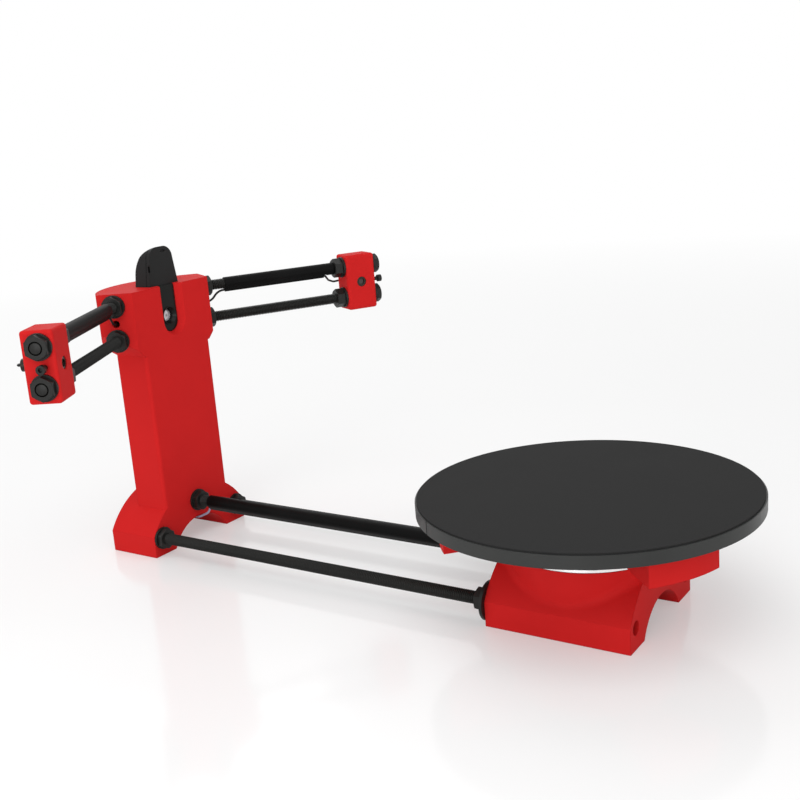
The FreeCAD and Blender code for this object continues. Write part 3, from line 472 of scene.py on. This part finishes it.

# Lens: a domed glass at the bottom of the tube, held by the ring. Its glass is painted pale towards its
# rim, a painted reflection, with a darker pupil in the middle.
glass_depth, glass_r, glass_bulge = 0.0021, 0.00422, 0.16
glass_x = bezel_face - glass_depth
# The pale colour is a painted reflection, spread outwards from the lens's middle.
painted_glint, painted_glint_r = (0.64, 0.60, 0.64), 0.0042
pupil_dark, pupil_from, pupil_to = (0.10, 0.09, 0.10), 0.12, 0.42
select_only()
bpy.ops.mesh.primitive_uv_sphere_add(segments=48, ring_count=24, radius=glass_r,
                                     rotation=(0, pi / 2, 0), location=(glass_x, 0, lens_z))
lens_glass = bpy.context.object
lens_glass.name = "lens_glass"
bpy.ops.object.transform_apply(location=True, rotation=True)
bpy.ops.object.mode_set(mode="EDIT")
bpy.ops.mesh.select_all(action="SELECT")
bpy.ops.transform.resize(value=(glass_bulge, 1, 1))
bpy.ops.object.mode_set(mode="OBJECT")
bpy.ops.object.shade_smooth()
painted_glint_glass = finish("glass with painted glint", painted_glint, 0.16, metal=0.35, fleck=0.1, grain=300, bump=0.0,
                       edge=0.0001, coat=1.0, waver=0.02)
tree = painted_glint_glass.node_tree
where = tree.nodes.new("ShaderNodeTexCoord")
reach = tree.nodes.new("ShaderNodeVectorMath")
reach.operation = "DISTANCE"
reach.inputs[1].default_value = (glass_x, 0, lens_z)
spread = tree.nodes.new("ShaderNodeMapRange")
spread.inputs["From Max"].default_value = painted_glint_r
pupil = tree.nodes.new("ShaderNodeValToRGB")
centre, rim = pupil.color_ramp.elements
for stop, at, colour in ((centre, pupil_from, pupil_dark), (rim, pupil_to, painted_glint)):
    stop.position = at
    stop.color = (*colour, 1)
link(tree, (where.outputs["Object"], reach.inputs[0]), (reach.outputs["Value"], spread.inputs["Value"]),
     (spread.outputs["Result"], pupil.inputs["Fac"]),
     (pupil.outputs["Color"], tree.nodes["Principled BSDF"].inputs["Base Color"]))
lens_glass.data.materials.append(painted_glint_glass)
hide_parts("webcam_lens")
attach(lens_glass, "frame")

# Turntable: a satin black plastic disc, turned round, with an index groove in its rim.
# A thin rubber grip mat is stuck on it.
disc_black = finish("disc black", (0.034, 0.035, 0.034), 0.36, fleck=0.1, grain=1200, bump=0.03,
                    edge=0.0005, shine=0.3, ior=1.35)
coat_nodes(disc_black, "platter")
mat_black = finish("mat black", (0.024, 0.024, 0.024), 0.70, grain=2500, bump=0.10, edge=0.0003,
                   waver=0.03, shine=0.2, ior=1.2)
coat_nodes(mat_black, "grip_mat")

# Large bearing: ground steel rings, polished balls and a pressed steel cage, open between the rings.
# The inner ring turns with the carrier, and the outer one sits in the bowl of the base.
ground_steel = finish("ground steel", (0.78, 0.78, 0.78), 0.24, metal=0.75, fleck=0.06, grain=600,
                      bump=0.03)
coat_nodes(ground_steel, "bearing_inner_ring", "bearing_balls", "motor_shaft", "usb_socket")
cage_steel = finish("cage steel", (0.42, 0.42, 0.43), 0.38, metal=1.0, fleck=0.1, grain=500,
                    edge=0.0003)
coat_nodes(cage_steel, "bearing_cage", "motor_rotor")

# Flanged ring: the bearing's outer ring, turned and polished steel, with a groove for the balls inside.
# Its thin flange rests on the rim of the bowl.
polished_steel = finish("polished steel", (0.95, 0.95, 0.95), 0.18, metal=0.6, fleck=0.02, grain=600,
                        bump=0.02, edge=0.0003, waver=0.04, shine=0.5)
low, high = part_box("bearing_outer_ring")
axle_x = (low.x + high.x) / 2
ball_z = (low.z + high.z) / 2
ring_r = (high.x - low.x) / 2
ring_wall = 0.0037
inner_r = ring_r - ring_wall
bottom_ease, top_ease = 0.0004, 0.0005
bowl_top = 0.0431
flange_r, flange_t, flange_ease = 0.0492, 0.0019, 0.0003
flange_top = bowl_top + flange_t
groove = ((0.00315, 0), (0.00225, 0.0008), (0.0012, 0.00135), (0, 0.0015),   # height and depth
          (-0.0012, 0.00135), (-0.00225, 0.0008), (-0.00315, 0))
profile = [(ring_r, low.z + bottom_ease), (ring_r, bowl_top), (flange_r, bowl_top),
           (flange_r, flange_top - flange_ease), (flange_r - flange_ease, flange_top),
           (ring_r, flange_top), (ring_r, high.z - top_ease), (ring_r - top_ease, high.z),
           (inner_r, high.z)]
profile += [(inner_r + depth, ball_z + up) for up, depth in groove]
profile += [(inner_r, low.z), (ring_r - bottom_ease, low.z)]
select_only()
bpy.ops.mesh.primitive_circle_add(vertices=len(profile), radius=ring_r, fill_type="NGON")
flanged_ring = bpy.context.object
flanged_ring.name = "flanged_ring"
for vertex, (out, up) in zip(flanged_ring.data.vertices, profile):
    vertex.co = (axle_x + out, 0, up)
bpy.ops.object.mode_set(mode="EDIT")
bpy.ops.mesh.select_all(action="SELECT")
bpy.ops.mesh.delete(type="ONLY_FACE")
bpy.ops.mesh.select_all(action="SELECT")
bpy.ops.mesh.spin(steps=120, angle=2 * pi, center=(axle_x, 0, 0), axis=(0, 0, 1))
bpy.ops.mesh.select_all(action="SELECT")
bpy.ops.mesh.remove_doubles(threshold=0.00001)
bpy.ops.mesh.normals_make_consistent(inside=False)
bpy.ops.object.mode_set(mode="OBJECT")
bpy.ops.object.shade_smooth_by_angle(angle=smooth_to)
flanged_ring.data.materials.append(polished_steel)
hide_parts("bearing_outer_ring")
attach(flanged_ring, "frame")

# Stepper motor: die-cast alloy end caps over a black stack of steel laminations, pulled together by
# four long screws. The same alloy makes the finned heat sinks on the driver boards.
motor_black = finish("motor black", (0.022, 0.022, 0.023), 0.42, metal=0.4, fleck=0.15, grain=400,
                     bump=0.1, edge=0.0003)
coat_nodes(motor_black, "motor_stator")
motor_alloy = finish("motor alloy", (0.58, 0.59, 0.61), 0.36, metal=1.0, fleck=0.06, grain=900,
                     bump=0.08)
coat_nodes(motor_alloy, "motor_front_cap", "motor_rear_cap", "heat_sinks")

# Controller: two blue glass-fibre circuit boards in the hollow of the column, the inner one screwed
# onto turned brass standoffs. Plastic headers, sockets and terminals are soldered on.
board_blue = finish("board blue", (0.015, 0.085, 0.22), 0.3, fleck=0.3, grain=300, edge=0.0002)
coat_nodes(board_blue, "controller_board", "shield_board", "driver_boards", "webcam_board")
turned_brass = finish("turned brass", (0.70, 0.52, 0.24), 0.28, metal=1.0, fleck=0.08, grain=500,
                      bump=0.04, edge=0.0002)
coat_nodes(turned_brass, "standoffs")
fitting_black = finish("fitting black", (0.020, 0.020, 0.020), 0.42, fleck=0.15, edge=0.0002)
coat_nodes(fitting_black, "header_strips", "driver_headers", "power_jack", "reset_switch",
           "motor_socket")
terminal_blue = finish("terminal blue", (0.03, 0.15, 0.45), 0.38, fleck=0.1, edge=0.0003)
coat_nodes(terminal_blue, "terminals")
button_red = finish("button red", (0.50, 0.03, 0.03), 0.35, fleck=0.1, edge=0.0003)
coat_nodes(button_red, "reset_button")

# Chips on the boards: black moulded plastic, soldered flat on the two boards' rear faces. Each kind is
# modelled once, copied to its places and joined into one piece.
shield_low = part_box("shield_board")[0]
main_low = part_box("controller_board")[0]
shield_chip = (0.0018, 0.0052, 0.0088)
shield_chip_z = (0.0165, 0.0290)
main_chip = (0.0012, 0.0070, 0.0070)
main_chip_y, main_chip_z = (-0.0055, 0.0045), 0.0130
box_ease = 0.12           # the edges' bevel, as a share of a box's thinnest side


def start_box(size, name):
    """A box of this size about the origin, with eased edges."""
    select_only()
    bpy.ops.mesh.primitive_cube_add(size=1)
    made = bpy.context.object
    made.name = name
    made.scale = size
    bpy.ops.object.transform_apply(scale=True)
    bpy.ops.object.mode_set(mode="EDIT")
    bpy.ops.mesh.select_all(action="SELECT")
    bpy.ops.mesh.bevel(offset=min(size) * box_ease, segments=2)
    bpy.ops.object.mode_set(mode="OBJECT")
    return made


def row_of(first, places, material):
    """Copy a piece to the places, join the copies and let them ride on the frame."""
    made = [first]
    for place in places[1:]:
        select_only(first)
        bpy.ops.object.duplicate()
        made.append(bpy.context.object)
    for one, place in zip(made, places):
        one.location = place
    select_only(*made)
    bpy.ops.object.join()
    bpy.ops.object.transform_apply(location=True, rotation=True, scale=True)
    bpy.ops.object.shade_smooth_by_angle(angle=smooth_to)
    first.data.materials.append(material)
    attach(first, "frame")


row_of(start_box(shield_chip, "shield_chips"),
       [(shield_low.x - shield_chip[0] / 2, 0, shield_low.z + z) for z in shield_chip_z],
       fitting_black)
row_of(start_box(main_chip, "board_chips"),
       [(main_low.x - main_chip[0] / 2, y, main_low.z + main_chip_z) for y in main_chip_y],
       fitting_black)

# Cans on the shield: aluminium capacitor cans, drawn with a rounded rim, in a row along each side.
# They stand on the board by their leads.
can_r, can_h, can_round, can_rim = 0.0024, 0.0056, 0.0003, 0.0002
can_y, can_z = 0.0238, (0.006, 0.0125, 0.029)
can = round_along_x("board_cans", can_r, can_h, (0, 0, 0), 32)
cap(can, -1)
bpy.ops.mesh.bevel(offset=can_round, segments=2)
bpy.ops.object.mode_set(mode="OBJECT")
cap(can, 1)
bpy.ops.mesh.inset(thickness=can_rim)
bpy.ops.object.mode_set(mode="OBJECT")
row_of(can, [(shield_low.x - can_h / 2, side * can_y, shield_low.z + z)
             for side in (1, -1) for z in can_z], motor_alloy)

# Terminal screws: small slotted steel screws, two to each blue terminal, which clamp the wires' ends.
# The slot is cut straight across the head.
screw_r, screw_t = 0.0015, 0.0008
slot_deep, slot_w, slot_run = 0.0003, 0.0005, 0.0040
screw_step = 0.0025       # from a terminal's middle to each of its screws
screw_proud = 0.0003      # from the terminal's face to the middle of the head
term_low, term_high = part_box("terminals")
term_y, term_in = 0.014, 0.004
screw = round_along_x("terminal_screws", screw_r, screw_t, (0, 0, 0), 24)
bpy.ops.mesh.primitive_cube_add(size=1, scale=(screw_t, slot_w, slot_run),
                                location=(slot_deep - screw_t, 0, 0))
punch_out(screw, bpy.context.object)
row_of(screw, [(term_low.x - screw_proud, y + side * screw_step, z)
               for y, z in ((-term_y, term_high.z - term_in), (term_y, term_high.z - term_in),
                            (0, term_low.z + term_in))
               for side in (1, -1)], ground_steel)

# Driver pins: square brass pins that stand through the four driver boards, eight along each edge, and
# show as short ends on their faces.
stick_low, stick_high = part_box("driver_boards")
stick_w, stick_l = 0.0152, 0.0203
pin_size = (0.0014, 0.0007, 0.0007)
pin_proud = 0.0006        # from the board's face to the middle of a pin
pin_edge, pin_start, pin_step = 0.00125, 0.0013, 0.00254
pin_rows = (stick_low.y + pin_edge, stick_low.y + stick_w - pin_edge,
            stick_high.y - stick_w + pin_edge, stick_high.y - pin_edge)
row_of(start_box(pin_size, "driver_pins"),
       [(stick_low.x - pin_proud, y, foot + pin_start + pin_step * count) for y in pin_rows
        for foot in (stick_low.z, stick_high.z - stick_l) for count in range(8)],
       turned_brass)
